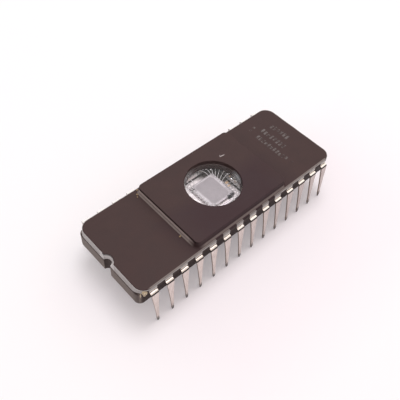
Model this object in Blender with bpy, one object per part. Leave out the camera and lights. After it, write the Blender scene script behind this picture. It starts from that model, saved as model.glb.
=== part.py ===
"""A 28-lead ceramic dual in-line package with a round window over its memory die.

Metres, +Z up. The lead tips stand on z = 0, the middle of the base is on the
Z axis, the long sides run along X, and the notch that marks lead 1 is at the -X
end. Leads 1 to 14 are the -Y row from -X to +X, leads 15 to 28 the +Y row back.

The package is a stack: a pressed base with a cavity, a layer of sealing glass
that holds the leads and climbs the side of the lid, and a pressed lid whose
raised middle holds a glass disc. In the cavity lie a metal layer, the die and
its bond wires, which run out to the tips of the lead fingers.
"""
import math

import bmesh
import bpy
from mathutils import Vector

# Clearance between pieces that are fused together on the real package
FIT_GAP = 0.00002

# Leads outside the package
LEADS_PER_ROW = 14
LEAD_PITCH = 0.00254
LEAD_THICKNESS = 0.00025
SHOULDER_WIDTH = 0.0012
SHOULDER_REACH = 0.00063
BEND_INNER_RADIUS = 0.00015
LEG_SPLAY = 5.0
LEG_END_WIDTH = 0.00036
LEG_TAPER_POWER = 1.6
POINT_LENGTH = 0.00045
POINT_WIDTH = 0.00024
POINT_THICKNESS = 0.00013

# Lead fingers inside the package
FINGER_RUN_IN = 0.00045
FINGER_RUN_IN_WIDTH = 0.0006
FINGER_WIDTH = 0.0005
FINGER_TIP_WIDTH = 0.00034
FINGER_TIP_LENGTH = 0.00095
FINGER_TIP_STEP = 0.00016
FINGER_SETBACK = 0.0002
FAN_FIRST_ANGLE = 72.0
FAN_LAST_ANGLE = 7.6

# Base
STANDOFF = 0.0040
BASE_HEIGHT = 0.00228
BASE_WIDTH = 0.0131
BASE_END_MARGIN = 0.00192
BASE_CORNER = 0.0009
BASE_EDGE = 0.00012
BASE_NOTCH_WIDTH = 0.0014
BASE_NOTCH_DEPTH = 0.00062

# Die, its cavity and the metal layer under it
DIE_LENGTH = 0.0045
DIE_WIDTH = 0.0048
DIE_THICKNESS = 0.0004
DIE_SHIFT_X = 0.00015
DIE_SHIFT_Y = -0.00006
CAVITY_END_MARGIN = 0.00115
CAVITY_SIDE_MARGIN = 0.0009
CAVITY_DEPTH = 0.00047
CAVITY_CORNER = 0.00025
METAL_THICKNESS = 0.00004
PAD_INSET = 0.00018
PAD_PITCH = 0.00045
PADS_ROUND_CORNER = 1.5

# Bond wires
WIRE_RADIUS = 0.000025
WIRE_HEADROOM = 0.00004
WIRE_FOOT = 0.00022
WIRE_ROOT = 0.00003
WIRE_PEAK = 0.4

# Sealing glass
GLASS_UNDER_LEADS = 0.00008
GLASS_OVER_LEADS = 0.00011
GLASS_BARE_SINK = 0.00002
GLASS_BARE_MARGIN = 0.0010
GLASS_BARE_CORNER = 0.0006
GLASS_LEDGE = 0.00005
GLASS_CORNER = 0.0014
FILLET_FOOT_THICKNESS = 0.00008
FILLET_TOP_THICKNESS = 0.00005
FILLET_TOP_DROP = 0.0001

# Lid, which sits a little to the -Y side of the base
LID_SHIFT = 0.0003
LID_THICKNESS = 0.00075
LID_END_SETBACK = 0.00017
LID_SIDE_REACH = 0.00023
LID_CORNER = 0.00155
LID_EDGE = 0.00008
LID_NOTCH_WIDTH = 0.00204
LID_NOTCH_DEPTH = 0.00057
RAISED_LENGTH = 0.01714
RAISED_SHIFT = 0.0001
RAISED_HEIGHT = 0.00118
RAISED_SIDE_SETBACK = 0.00041
RAISED_CORNER = 0.00075
RAISED_DRAFT = 0.00004
RAISED_FOOT_RADIUS = 0.00034

# Window
WINDOW_RADIUS = 0.00413
WINDOW_THICKNESS = 0.00095
WINDOW_DEPTH = 0.00045
WINDOW_LIP = 0.00015
WINDOW_EDGE = 0.00006

# Fineness of the round stretches
CORNER_STEPS = 8
NOTCH_STEPS = 10
CIRCLE_STEPS = 64
EDGE_STEPS = 3
BEND_STEPS = 6
LEG_STEPS = 7
WIRE_STEPS = 8
WIRE_SIDES = 5
SMOOTH_ANGLE = 32.0

# Sizes that follow from the ones above
BASE_LENGTH = (LEADS_PER_ROW - 1) * LEAD_PITCH + 2 * BASE_END_MARGIN
LID_LENGTH = BASE_LENGTH - 2 * LID_END_SETBACK
LID_WIDTH = BASE_WIDTH + 2 * LID_SIDE_REACH
RAISED_WIDTH = LID_WIDTH - 2 * RAISED_SIDE_SETBACK
CAVITY_LENGTH = DIE_LENGTH + 2 * CAVITY_END_MARGIN
CAVITY_WIDTH = DIE_WIDTH + 2 * CAVITY_SIDE_MARGIN
BARE_LENGTH = CAVITY_LENGTH + 2 * GLASS_BARE_MARGIN
BARE_WIDTH = CAVITY_WIDTH + 2 * GLASS_BARE_MARGIN

# Heights of the stack, from the lead tips up
BASE_TOP = STANDOFF + BASE_HEIGHT
CAVITY_FLOOR = BASE_TOP - CAVITY_DEPTH
METAL_TOP = CAVITY_FLOOR + FIT_GAP + METAL_THICKNESS
DIE_BOTTOM = METAL_TOP + FIT_GAP
DIE_TOP = DIE_BOTTOM + DIE_THICKNESS
GLASS_BOTTOM = BASE_TOP + FIT_GAP
LEAD_BOTTOM = GLASS_BOTTOM + GLASS_UNDER_LEADS + FIT_GAP
LEAD_TOP = LEAD_BOTTOM + LEAD_THICKNESS
GLASS_TOP = LEAD_TOP + FIT_GAP + GLASS_OVER_LEADS
LID_BOTTOM = GLASS_TOP + FIT_GAP
LID_TOP = LID_BOTTOM + LID_THICKNESS
RAISED_TOP = LID_TOP + RAISED_HEIGHT
WINDOW_TOP = RAISED_TOP - WINDOW_DEPTH
WINDOW_BOTTOM = WINDOW_TOP - WINDOW_THICKNESS
WINDOW_SEAT = WINDOW_BOTTOM - FIT_GAP
WIRE_TOP = LID_BOTTOM - WIRE_HEADROOM - WIRE_RADIUS

# How far a cutter runs past the faces that it cuts through
OVERCUT = 0.0005


def clear_scene():
    for item in list(bpy.data.objects):
        bpy.data.objects.remove(item, do_unlink=True)


def make_material(name, colour, roughness, metallic=0.0, transmission=0.0, ior=1.5):
    material = bpy.data.materials.new(name)
    material.use_nodes = True
    shader = material.node_tree.nodes["Principled BSDF"]
    shader.inputs["Base Color"].default_value = (*colour, 1.0)
    shader.inputs["Roughness"].default_value = roughness
    shader.inputs["Metallic"].default_value = metallic
    shader.inputs["Transmission Weight"].default_value = transmission
    shader.inputs["IOR"].default_value = ior
    return material


def arc(centre, radius, start, end, steps):
    """Points on an arc from one angle to the other in degrees, both ends included."""
    angles = [math.radians(start + (end - start) * i / steps) for i in range(steps + 1)]
    return [(centre[0] + radius * math.cos(a), centre[1] + radius * math.sin(a)) for a in angles]


def plate_outline(length, width, corner, inset=0.0, notch=None):
    """Anticlockwise outline of a plate with round corners, moved in by the inset.

    The notch is its width and depth, in the middle of the -X end.
    """
    half_length, half_width = length / 2 - inset, width / 2 - inset
    radius = max(corner - inset, FIT_GAP)
    x, y = half_length - radius, half_width - radius
    points = arc((x, y), radius, 0, 90, CORNER_STEPS) + arc((-x, y), radius, 90, 180, CORNER_STEPS)
    if notch:
        notch_width, depth = notch
        notch_radius = (notch_width ** 2 / 4 + depth ** 2) / (2 * depth)
        centre_x = -length / 2 - (notch_radius - depth)
        cut_radius = notch_radius + inset
        spread = math.degrees(math.acos((-half_length - centre_x) / cut_radius))
        points += arc((centre_x, 0), cut_radius, spread, -spread, NOTCH_STEPS)
    points += arc((-x, -y), radius, 180, 270, CORNER_STEPS)
    points += arc((x, -y), radius, 270, 360, CORNER_STEPS)
    return points


def base_outline(inset=0.0):
    return plate_outline(BASE_LENGTH, BASE_WIDTH, BASE_CORNER, inset, (BASE_NOTCH_WIDTH, BASE_NOTCH_DEPTH))


def glass_outline():
    notch = (BASE_NOTCH_WIDTH, BASE_NOTCH_DEPTH)
    return plate_outline(BASE_LENGTH, BASE_WIDTH, GLASS_CORNER, GLASS_LEDGE, notch)


def moved(outline, x, y):
    return [(point[0] + x, point[1] + y) for point in outline]


def lid_outline(inset=0.0):
    outline = plate_outline(LID_LENGTH, LID_WIDTH, LID_CORNER, inset, (LID_NOTCH_WIDTH, LID_NOTCH_DEPTH))
    return moved(outline, 0, -LID_SHIFT)


def circle_outline(radius):
    return arc((0, -LID_SHIFT), radius, 0, 360, CIRCLE_STEPS)[:-1]


def at_height(outline, z):
    return [Vector((x, y, z)) for x, y in outline]


def loft(rings, mesh):
    """Join rings of points, all with the same count, into one closed skin in the mesh."""
    loops = [[mesh.verts.new(point) for point in ring] for ring in rings]
    count = len(loops[0])
    for lower, upper in zip(loops, loops[1:]):
        for i in range(count):
            j = (i + 1) % count
            mesh.faces.new((lower[i], lower[j], upper[j], upper[i]))
    mesh.faces.new(list(reversed(loops[0])))
    mesh.faces.new(loops[-1])


def add_object(name, mesh, material=None):
    """Turn a bmesh into an object whose faces point out and whose round stretches are smooth."""
    bmesh.ops.recalc_face_normals(mesh, faces=mesh.faces)
    data = bpy.data.meshes.new(name)
    mesh.to_mesh(data)
    mesh.free()
    shade(data)
    item = bpy.data.objects.new(name, data)
    bpy.context.scene.collection.objects.link(item)
    if material:
        data.materials.append(material)
    return item


def shade(data):
    data.shade_smooth()
    data.set_sharp_from_angle(angle=math.radians(SMOOTH_ANGLE))


def solid(name, rings, material=None):
    mesh = bmesh.new()
    loft(rings, mesh)
    return add_object(name, mesh, material)


def combine(target, tool, operation):
    """Cut the tool out of the target, or join it on, and remove the tool."""
    modifier = target.modifiers.new("combine", "BOOLEAN")
    modifier.operation = operation
    modifier.solver = "EXACT"
    modifier.object = tool
    evaluated = target.evaluated_get(bpy.context.evaluated_depsgraph_get())
    result = bpy.data.meshes.new_from_object(evaluated)
    target.modifiers.clear()
    target.data = result
    bpy.data.objects.remove(tool, do_unlink=True)
    shade(result)


def round_edge_levels(z, direction, radius):
    """Heights and insets that round the edge of a face at z; direction 1 is a top edge."""
    levels = []
    for i in range(EDGE_STEPS + 1):
        angle = math.radians(90 * i / EDGE_STEPS)
        levels.append((z - direction * radius * (1 - math.sin(angle)), radius * (1 - math.cos(angle))))
    return levels if direction > 0 else list(reversed(levels))


def make_base(material):
    levels = round_edge_levels(STANDOFF, -1, BASE_EDGE) + round_edge_levels(BASE_TOP, 1, BASE_EDGE)
    base = solid("base", [at_height(base_outline(inset), z) for z, inset in levels], material)
    cavity = plate_outline(CAVITY_LENGTH, CAVITY_WIDTH, CAVITY_CORNER)
    cutter = solid("cavity", [at_height(cavity, z) for z in (CAVITY_FLOOR, BASE_TOP + OVERCUT)])
    combine(base, cutter, "DIFFERENCE")
    return base


def raised_outline(inset):
    return moved(plate_outline(RAISED_LENGTH, RAISED_WIDTH, RAISED_CORNER, inset), -RAISED_SHIFT, -LID_SHIFT)


def make_lid(material):
    """The plate, its raised middle on a hollow foot radius, and the stepped bore."""
    bottom = [(LID_BOTTOM, 0.0)]
    plate_levels = bottom + round_edge_levels(LID_TOP, 1, LID_EDGE)
    lid = solid("lid", [at_height(lid_outline(inset), z) for z, inset in plate_levels], material)
    foot = RAISED_FOOT_RADIUS
    raised_levels = [((LID_BOTTOM + LID_TOP) / 2, -foot)]
    for i in range(CORNER_STEPS + 1):
        angle = math.radians(90 * i / CORNER_STEPS)
        raised_levels.append((LID_TOP + foot * (1 - math.cos(angle)), -foot * (1 - math.sin(angle))))
    raised_levels += [(z, inset + RAISED_DRAFT) for z, inset in round_edge_levels(RAISED_TOP, 1, LID_EDGE)]
    raised = solid("raised", [at_height(raised_outline(inset), z) for z, inset in raised_levels])
    combine(lid, raised, "UNION")
    bore_levels = [
        (LID_BOTTOM - OVERCUT, WINDOW_RADIUS - WINDOW_LIP),
        (WINDOW_SEAT, WINDOW_RADIUS - WINDOW_LIP),
        (WINDOW_SEAT, WINDOW_RADIUS),
        (RAISED_TOP - LID_EDGE, WINDOW_RADIUS),
        (RAISED_TOP + LID_EDGE, WINDOW_RADIUS + 2 * LID_EDGE),
    ]
    bore = solid("bore", [at_height(circle_outline(radius), z) for z, radius in bore_levels])
    combine(lid, bore, "DIFFERENCE")
    return lid


def make_window(material):
    radius = WINDOW_RADIUS - FIT_GAP
    levels = [
        (WINDOW_BOTTOM, radius - WINDOW_EDGE),
        (WINDOW_BOTTOM + WINDOW_EDGE, radius),
        (WINDOW_TOP - WINDOW_EDGE, radius),
        (WINDOW_TOP, radius - WINDOW_EDGE),
    ]
    return solid("window", [at_height(circle_outline(size), z) for z, size in levels], material)


def make_seal_glass(material):
    """The glass layer with its fillet round the lid, bare over the finger tips, with a slot for each lead."""
    fillet_top = LID_TOP - FILLET_TOP_DROP
    rings = [at_height(glass_outline(), z) for z in (GLASS_BOTTOM, LEAD_TOP)]
    for i in range(EDGE_STEPS + 1):
        share = i / EDGE_STEPS
        thickness = FILLET_TOP_THICKNESS + (FILLET_FOOT_THICKNESS - FILLET_TOP_THICKNESS) * (1 - share) ** 2
        height = LID_BOTTOM + (fillet_top - LID_BOTTOM) * share
        rings.append(at_height(lid_outline(-FIT_GAP - thickness), height))
    glass = solid("seal_glass", rings, material)

    pocket = [at_height(lid_outline(-FIT_GAP), z) for z in (GLASS_TOP, fillet_top + OVERCUT)]
    combine(glass, solid("pocket", pocket), "DIFFERENCE")
    bare = plate_outline(BARE_LENGTH, BARE_WIDTH, GLASS_BARE_CORNER)
    bare_floor = GLASS_BOTTOM + GLASS_UNDER_LEADS - GLASS_BARE_SINK
    combine(glass, solid("bare", [at_height(bare, z) for z in (bare_floor, GLASS_TOP + OVERCUT)]), "DIFFERENCE")
    cavity = plate_outline(CAVITY_LENGTH, CAVITY_WIDTH, CAVITY_CORNER)
    through = (GLASS_BOTTOM - OVERCUT, bare_floor + OVERCUT)
    combine(glass, solid("cavity", [at_height(cavity, z) for z in through]), "DIFFERENCE")

    slots = bmesh.new()
    for place in range(2 * LEADS_PER_ROW):
        side_x, side_y, step = lead_place(place)
        loft(strip_rings(finger_stations(step, FIT_GAP), side_x, side_y), slots)
    combine(glass, add_object("slots", slots), "DIFFERENCE")
    return glass


def make_metal_layer(material):
    layer = plate_outline(CAVITY_LENGTH, CAVITY_WIDTH, CAVITY_CORNER, FIT_GAP)
    heights = (CAVITY_FLOOR + FIT_GAP, METAL_TOP)
    return solid("die_attach", [at_height(layer, z) for z in heights], material)


def lead_place(place):
    """Which side of the package a lead is on, and how many pitches it is from the middle."""
    row = place // LEADS_PER_ROW
    column = place % LEADS_PER_ROW
    across = column - (LEADS_PER_ROW - 1) / 2
    side_y = -1 if row == 0 else 1
    side_x = math.copysign(1, across) * -side_y
    return side_x, side_y, abs(across)


def fan_angle(step):
    """Angle of a finger tip round the middle of the die, from the X axis."""
    last = (LEADS_PER_ROW - 1) / 2
    share = (step - 0.5) / (last - 0.5)
    return math.radians(FAN_FIRST_ANGLE + (FAN_LAST_ANGLE - FAN_FIRST_ANGLE) * share)


def finger_tip(step):
    """Where the finger of a lead ends, just outside the cavity, and its direction away from the die."""
    direction = Vector((math.cos(fan_angle(step)), math.sin(fan_angle(step))))
    reach_x = (CAVITY_LENGTH / 2 + FINGER_SETBACK) / direction.x
    reach_y = (CAVITY_WIDTH / 2 + FINGER_SETBACK) / direction.y
    return direction * min(reach_x, reach_y), direction


def finger_stations(step, grow=0.0):
    """Stations of a lead inside the package, from its tip to just outside the side of the base.

    A station is a centre, a half width vector and a half thickness vector. The grow value
    widens the strip all round, for the slot that it lies in.
    """
    tip, direction = finger_tip(step)
    exit_x = step * LEAD_PITCH
    side = BASE_WIDTH / 2
    tip_end = FINGER_TIP_LENGTH + FINGER_TIP_STEP * (step - 0.5)
    plan = [
        (tip - direction * grow, FINGER_TIP_WIDTH),
        (tip + direction * tip_end, FINGER_WIDTH),
        (Vector((exit_x, side - FINGER_RUN_IN)), FINGER_RUN_IN_WIDTH),
        (Vector((exit_x, side - FINGER_RUN_IN / 3)), SHOULDER_WIDTH),
        (Vector((exit_x, side + SHOULDER_REACH)), SHOULDER_WIDTH),
    ]
    height = (LEAD_BOTTOM + LEAD_TOP) / 2
    up = Vector((0, 0, LEAD_THICKNESS / 2 + grow))
    stations = []
    for i, (point, width) in enumerate(plan):
        back = (point - plan[i - 1][0]).normalized() if i else None
        ahead = (plan[i + 1][0] - point).normalized() if i + 1 < len(plan) else back
        back = back or ahead
        along = (back + ahead).normalized()
        mitre = max(along.dot(ahead), 0.5)
        half = (width / 2 + grow) / mitre
        across = Vector((along.y, -along.x, 0)) * half
        stations.append((Vector((point.x, point.y, height)), across, up))
    return stations


def leg_width(share):
    """Width of a leg at a share of its way from the bend to the point."""
    return LEG_END_WIDTH + (SHOULDER_WIDTH - LEG_END_WIDTH) * (1 - share) ** LEG_TAPER_POWER


def leg_stations(step):
    """Stations of a lead outside the package: the bend, the tapered leg and its blunt point."""
    exit_x = step * LEAD_PITCH
    radius = BEND_INNER_RADIUS + LEAD_THICKNESS / 2
    centre = Vector((exit_x, BASE_WIDTH / 2 + SHOULDER_REACH, LEAD_TOP - LEAD_THICKNESS / 2 - radius))
    turn = 90 - LEG_SPLAY
    stations = []
    for i in range(1, BEND_STEPS + 1):
        angle = math.radians(turn * i / BEND_STEPS)
        outward = Vector((0, math.sin(angle), math.cos(angle)))
        across = Vector((SHOULDER_WIDTH / 2, 0, 0))
        stations.append((centre + outward * radius, across, outward * LEAD_THICKNESS / 2))
    start = stations[-1][0]
    splay = math.radians(LEG_SPLAY)
    down = Vector((0, math.sin(splay), -math.cos(splay)))
    outward = Vector((0, math.cos(splay), math.sin(splay)))
    length = start.z / math.cos(splay)
    taper = length - POINT_LENGTH
    for i in range(1, LEG_STEPS + 1):
        share = i / LEG_STEPS
        across = Vector((leg_width(share) / 2, 0, 0))
        stations.append((start + down * taper * share, across, outward * LEAD_THICKNESS / 2))
    across = Vector((POINT_WIDTH / 2, 0, 0))
    stations.append((start + down * length, across, Vector((0, POINT_THICKNESS / 2, 0))))
    return stations


def strip_rings(stations, side_x, side_y):
    """Four-cornered rings along a strip, mirrored to its side of the package."""
    rings = []
    for centre, across, up in stations:
        corners = (centre + across + up, centre - across + up, centre - across - up, centre + across - up)
        rings.append([Vector((side_x * c.x, side_y * c.y, c.z)) for c in corners])
    return rings


def make_leads(material):
    leads = []
    for place in range(2 * LEADS_PER_ROW):
        side_x, side_y, step = lead_place(place)
        stations = finger_stations(step) + leg_stations(step)
        leads.append(solid(f"lead_{place + 1:02d}", strip_rings(stations, side_x, side_y), material))
    return leads


def bond_pad(step, side_x, side_y):
    """Where a wire starts on the die: the pads run along the X edge and a little round its corner.

    The place is given in the quarter of the lead, so a shift of the die changes sign with the side.
    """
    corner_x = DIE_LENGTH / 2 - PAD_INSET + side_x * DIE_SHIFT_X
    corner_y = DIE_WIDTH / 2 - PAD_INSET + side_y * DIE_SHIFT_Y
    corner = Vector((corner_x, corner_y))
    from_corner = (step - PADS_ROUND_CORNER - 0.5) * PAD_PITCH
    if from_corner < 0:
        return Vector((corner.x + from_corner, corner.y))
    return Vector((corner.x, corner.y - from_corner))


def wire_rings(step, side_x, side_y):
    """Rings along a bond wire: up from its pad, over in a loop, and flat on the finger tip."""
    tip, direction = finger_tip(step)
    pad = bond_pad(step, side_x, side_y)
    landing = tip + direction * (WIRE_RADIUS * 2)
    end_height = LEAD_TOP + FIT_GAP + WIRE_RADIUS
    run = landing - pad
    path = [(pad, DIE_TOP - WIRE_ROOT)]
    for i in range(1, WIRE_STEPS + 1):
        share = i / WIRE_STEPS
        if share < WIRE_PEAK:
            height = DIE_TOP + (WIRE_TOP - DIE_TOP) * math.sin(math.pi / 2 * share / WIRE_PEAK)
        else:
            fall = math.cos(math.pi / 2 * (share - WIRE_PEAK) / (1 - WIRE_PEAK))
            height = end_height + (WIRE_TOP - end_height) * fall
        path.append((pad + run * share, height))
    path.append((landing + run.normalized() * WIRE_FOOT, end_height))
    points = [Vector((p.x, p.y, z)) for p, z in path]
    side = Vector((run.y, -run.x, 0)).normalized()
    rings = []
    for i, point in enumerate(points):
        along = points[min(i + 1, len(points) - 1)] - points[max(i - 1, 0)]
        up = side.cross(along.normalized())
        ring = []
        for turn in range(WIRE_SIDES):
            angle = 2 * math.pi * turn / WIRE_SIDES
            ring.append(point + (side * math.cos(angle) + up * math.sin(angle)) * WIRE_RADIUS)
        rings.append([Vector((side_x * c.x, side_y * c.y, c.z)) for c in ring])
    return rings


def make_die(material):
    """The die with its bond wires, which are welded to its pads."""
    plan = moved(plate_outline(DIE_LENGTH, DIE_WIDTH, 0.0), DIE_SHIFT_X, DIE_SHIFT_Y)
    corners = [plan[i] for i in range(0, len(plan), CORNER_STEPS + 1)]
    die = solid("die", [at_height(corners, z) for z in (DIE_BOTTOM, DIE_TOP)], material)
    wires = bmesh.new()
    for place in range(2 * LEADS_PER_ROW):
        side_x, side_y, step = lead_place(place)
        loft(wire_rings(step, side_x, side_y), wires)
    combine(die, add_object("wires", wires), "UNION")
    return die


def main():
    clear_scene()
    ceramic = make_material("brown_ceramic", (0.075, 0.052, 0.048), 0.6)
    lid_ceramic = make_material("brown_lid_ceramic", (0.070, 0.048, 0.046), 0.55)
    frit = make_material("grey_sealing_glass", (0.33, 0.31, 0.30), 0.35)
    clear = make_material("clear_window_glass", (0.95, 0.97, 0.97), 0.03, transmission=1.0, ior=1.48)
    plated = make_material("tin_plated_lead", (0.72, 0.68, 0.66), 0.32, metallic=1.0)
    gold = make_material("gold_metallisation", (0.85, 0.72, 0.48), 0.35, metallic=1.0)
    silicon = make_material("passivated_silicon", (0.42, 0.40, 0.43), 0.25, metallic=0.6)
    make_base(ceramic)
    make_metal_layer(gold)
    make_die(silicon)
    make_leads(plated)
    make_seal_glass(frit)
    make_lid(lid_ceramic)
    make_window(clear)


main()
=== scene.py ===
"""The looks of a 28-lead ceramic memory chip with a round window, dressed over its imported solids.

Metres, +Z up. The lead tips stand on z = 0, the package lies along X, and its notch is at -X.
"""
import math
import random

import bmesh
import bpy
from mathutils import Matrix, Vector, noise


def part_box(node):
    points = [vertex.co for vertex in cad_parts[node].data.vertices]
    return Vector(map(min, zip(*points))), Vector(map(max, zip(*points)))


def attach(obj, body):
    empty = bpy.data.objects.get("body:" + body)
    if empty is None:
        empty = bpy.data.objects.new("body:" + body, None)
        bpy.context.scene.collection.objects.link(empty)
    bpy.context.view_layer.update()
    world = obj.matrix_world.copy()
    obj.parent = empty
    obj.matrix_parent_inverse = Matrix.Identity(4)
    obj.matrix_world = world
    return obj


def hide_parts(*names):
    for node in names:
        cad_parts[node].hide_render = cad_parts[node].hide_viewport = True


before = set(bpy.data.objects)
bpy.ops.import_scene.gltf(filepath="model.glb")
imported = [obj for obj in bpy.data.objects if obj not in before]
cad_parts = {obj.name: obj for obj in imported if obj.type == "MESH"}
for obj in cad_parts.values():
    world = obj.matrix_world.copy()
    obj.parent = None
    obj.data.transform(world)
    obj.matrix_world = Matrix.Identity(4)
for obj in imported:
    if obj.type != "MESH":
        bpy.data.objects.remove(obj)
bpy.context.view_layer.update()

# The solids that the sizes here come from
BASE_LOW, BASE_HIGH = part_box("base")
LID_LOW, LID_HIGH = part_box("lid")
GLASS_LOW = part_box("seal_glass")[0]
WINDOW_LOW, WINDOW_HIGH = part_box("window")
METAL_LOW, METAL_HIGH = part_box("die_attach")
LEAD_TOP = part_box("lead_01")[1].z

# Camera, fitted to the photograph, with azimuth, elevation and roll in degrees
CAMERA_PLACE = Vector((-0.036895, -0.033754, 0.067427))
CAMERA_ANGLES = (-45.867, 51.636, 4.532)
CAMERA_LENS = 49.27
SENSOR_WIDTH = 36.0
CAMERA_CLIP = (0.005, 10.0)

# Leads
LEADS_PER_ROW = 14
LEAD_PITCH = 0.00254
LEAD_THICKNESS = 0.00025
LEAD_EDGE = 0.00003
SHOULDER_WIDTH = 0.0012
SHOULDER_REACH = 0.00063
BEND_RADIUS = 0.000275
LEG_SPLAY = 5.0
LEG_END_WIDTH = 0.00036
LEG_TAPER_POWER = 1.6
POINT_LENGTH = 0.00045
POINT_WIDTH = 0.00024
POINT_THICKNESS = 0.00013
FINGER_RUN_IN = 0.00045
FINGER_RUN_IN_WIDTH = 0.0006
FINGER_WIDTH = 0.0005
FINGER_TIP_WIDTH = 0.00034
FINGER_TIP_LENGTH = 0.00095
FINGER_TIP_STEP = 0.00016
FINGER_SETBACK = 0.0002
FAN_FIRST_ANGLE = 72.0
FAN_LAST_ANGLE = 7.6

# Ceramic pieces
CORNER_BASE = 0.0009
CORNER_LID = 0.00155
EDGE_BASE = 0.00012
EDGE_LID = 0.00009
NOTCH_BASE = (0.0014, 0.00062)
NOTCH_LID = (0.00204, 0.00057)
LID_PLATE = 0.00075
RAISED_LENGTH = 0.01714
RAISED_WIDTH = 0.01274
RAISED_SHIFT = 0.0001
RAISED_CORNER = 0.00075
RAISED_DRAFT = 0.00004
RAISED_FOOT = 0.00034
CAVITY_CORNER = 0.00025
CAVITY_DEPTH = 0.00047

# Glass pieces
FIT_GAP = 0.00002
GLASS_LEDGE = 0.00005
GLASS_CORNER = 0.0014
GLASS_UNDER_LEADS = 0.00008
BARE_SINK = 0.00002
BARE_MARGIN = 0.0010
BARE_CORNER = 0.0006
PRINT_FILM = 0.000004
FILLET_FOOT_THICKNESS = 0.00008
FILLET_TOP_THICKNESS = 0.00005
FILLET_STEPS = 8
FILLET_POINT_REACH = 0.00025
FILLET_WAVE = 0.000018
FILLET_TOP_MARGIN = 0.00006
WINDOW_LIP = 0.00015
WINDOW_EDGE = 0.00006
WINDOW_FUSED = 0.000008

# Die and wires
DIE_LENGTH = 0.0045
DIE_WIDTH = 0.0048
DIE_THICKNESS = 0.0004
DIE_SHIFT_X = 0.00015
DIE_SHIFT_Y = -0.00006
PAD_INSET = 0.00018
PAD_PITCH = 0.00045
PADS_ROUND_CORNER = 1.5
PAD_SIZE = 0.00013
FILM = 0.000006
WIRE_RADIUS = 0.000036
WIRE_HEADROOM = 0.00004
WIRE_FOOT = 0.00022
WIRE_PEAK = 0.4
BOND_FOOT = 0.00013

# Fineness of the round stretches
CORNER_STEPS = 16
NOTCH_STEPS = 20
CIRCLE_STEPS = 128
EDGE_STEPS = 5
BEND_STEPS = 12
LEG_STEPS = 20
WIRE_STEPS = 20
WIRE_SIDES = 8
OVERCUT = 0.0005

# Heights of the stack that more than one piece uses
LID_TOP = LID_LOW.z + LID_PLATE
LEAD_MIDDLE = LEAD_TOP - LEAD_THICKNESS / 2
CAVITY_LENGTH = METAL_HIGH.x - METAL_LOW.x + 2 * FIT_GAP
CAVITY_WIDTH = METAL_HIGH.y - METAL_LOW.y + 2 * FIT_GAP
DIE_BOTTOM = METAL_HIGH.z + FIT_GAP
DIE_TOP = DIE_BOTTOM + DIE_THICKNESS
LID_SHIFT = -(LID_LOW.y + LID_HIGH.y) / 2
WINDOW_RADIUS = (WINDOW_HIGH.x - WINDOW_LOW.x) / 2 + FIT_GAP

# Angles in degrees from which edges stay sharp, on flat pieces and on round ones
SHARP_ANGLE = 32.0
ROUND_SHARP_ANGLE = 60.0

# Waves of the glass fillet: how many in a metre, and their shares
SLOW_WAVES = 600
FAST_WAVES = 2100
FAST_SHARE = 0.5
SIDEWAYS_SHARE = 0.6

# How uneven drops are, and how fine the unevenness is
DROP_WAVE = 0.36
DROP_WAVES = 1.6
DROP_SEED = 900

# Drops of sealing glass at the corner by lead 1: name, middle and half sizes
GLASS_DROPS = [
    ("glass_lump_1", (-0.01776, -0.00683, 0.00712), (0.0003, 0.00022, 0.0003)),
    ("glass_lump_2", (-0.01756, -0.00695, 0.007), (0.00024, 0.0002, 0.00036)),
    ("glass_lump_3", (-0.0177, -0.00684, 0.0066), (0.00022, 0.00018, 0.0003)),
    ("glass_drip", (-0.01798, -0.0064, 0.006), (0.00009, 0.00009, 0.00048)),
]

# Drops of residue at the foot of the raised part: x, y, length, width, height
RESIDUE = [
    (-0.00902, -0.0036, 0.00034, 0.00022, 0.0001),
    (-0.00742, -0.0065, 0.00038, 0.00022, 0.00012),
    (-0.0068, -0.00668, 0.00024, 0.00016, 0.00008),
    (-0.00844, 0.00625, 0.00028, 0.0002, 0.0001),
    (-0.00895, 0.0056, 0.00022, 0.0003, 0.00008),
    (-0.00921, 0.00525, 0.00018, 0.0002, 0.00007),
]
RESIDUE_RAISE = 0.3

# Rows of worn print on the plate beyond the raised part: middle x, height, first y, last y, pitch
PRINT_ROWS = [
    (0.01235, 0.0008, 0.00265, -0.00305, 0.00058),
    (0.01395, 0.0009, 0.0031, -0.0015, 0.00062),
    (0.01575, 0.00095, 0.0028, -0.0001, 0.00062),
]
PRINT_DOTS = [(0.0125, 0.0044), (0.01335, 0.00445), (0.01255, -0.0042)]
PRINT_WORN_SHARES = (0.0, 0.0, 0.15, 0.3)
BAR_WIDTH = 0.00036
DOT_WIDTH = 0.00034

# Flecks and drops on the finger tips: x, y, and half sizes or the radius
TIP_TOP = LEAD_TOP + FIT_GAP / 4
GOLD_FLECKS = [
    ((0.00372, -0.00002), (0.00014, 0.00012, 0.00002)),
    ((0.00372, -0.00122), (0.00022, 0.00014, 0.00002)),
]
SOLDER_DROPS = [
    (0.00362, -0.00052, 0.00024),
    (0.00077, 0.0037, 0.00013),
    (0.00164, 0.00356, 0.00017),
    (0.00199, 0.00327, 0.00015),
    (0.00246, 0.00278, 0.00014),
    (0.00399, 0.00191, 0.00014),
    (0.00402, 0.00119, 0.00019),
    (0.00413, 0.00041, 0.00017),
]

# Films on the die: the cell array with clipped corners, and the blocks round it
ARRAY_LOW = (-0.0014, -0.0021)
ARRAY_HIGH = (0.0018, 0.0020)
ARRAY_CLIP = 0.00035
DIE_BLOCKS = [
    ("row_decoder", "decoder", (-0.00182, -0.0019), (-0.00152, 0.0012)),
    ("column_decoder", "decoder", (-0.001, 0.00206), (0.0014, 0.00218)),
    ("sense_strip", "decoder", (0.00188, -0.0008), (0.00218, 0.0014)),
    ("buffer_strip", "decoder", (-0.0013, -0.00238), (0.0006, -0.0022)),
    ("logic_block", "logic", (0.00108, -0.00244), (0.0022, -0.00218)),
]

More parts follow.
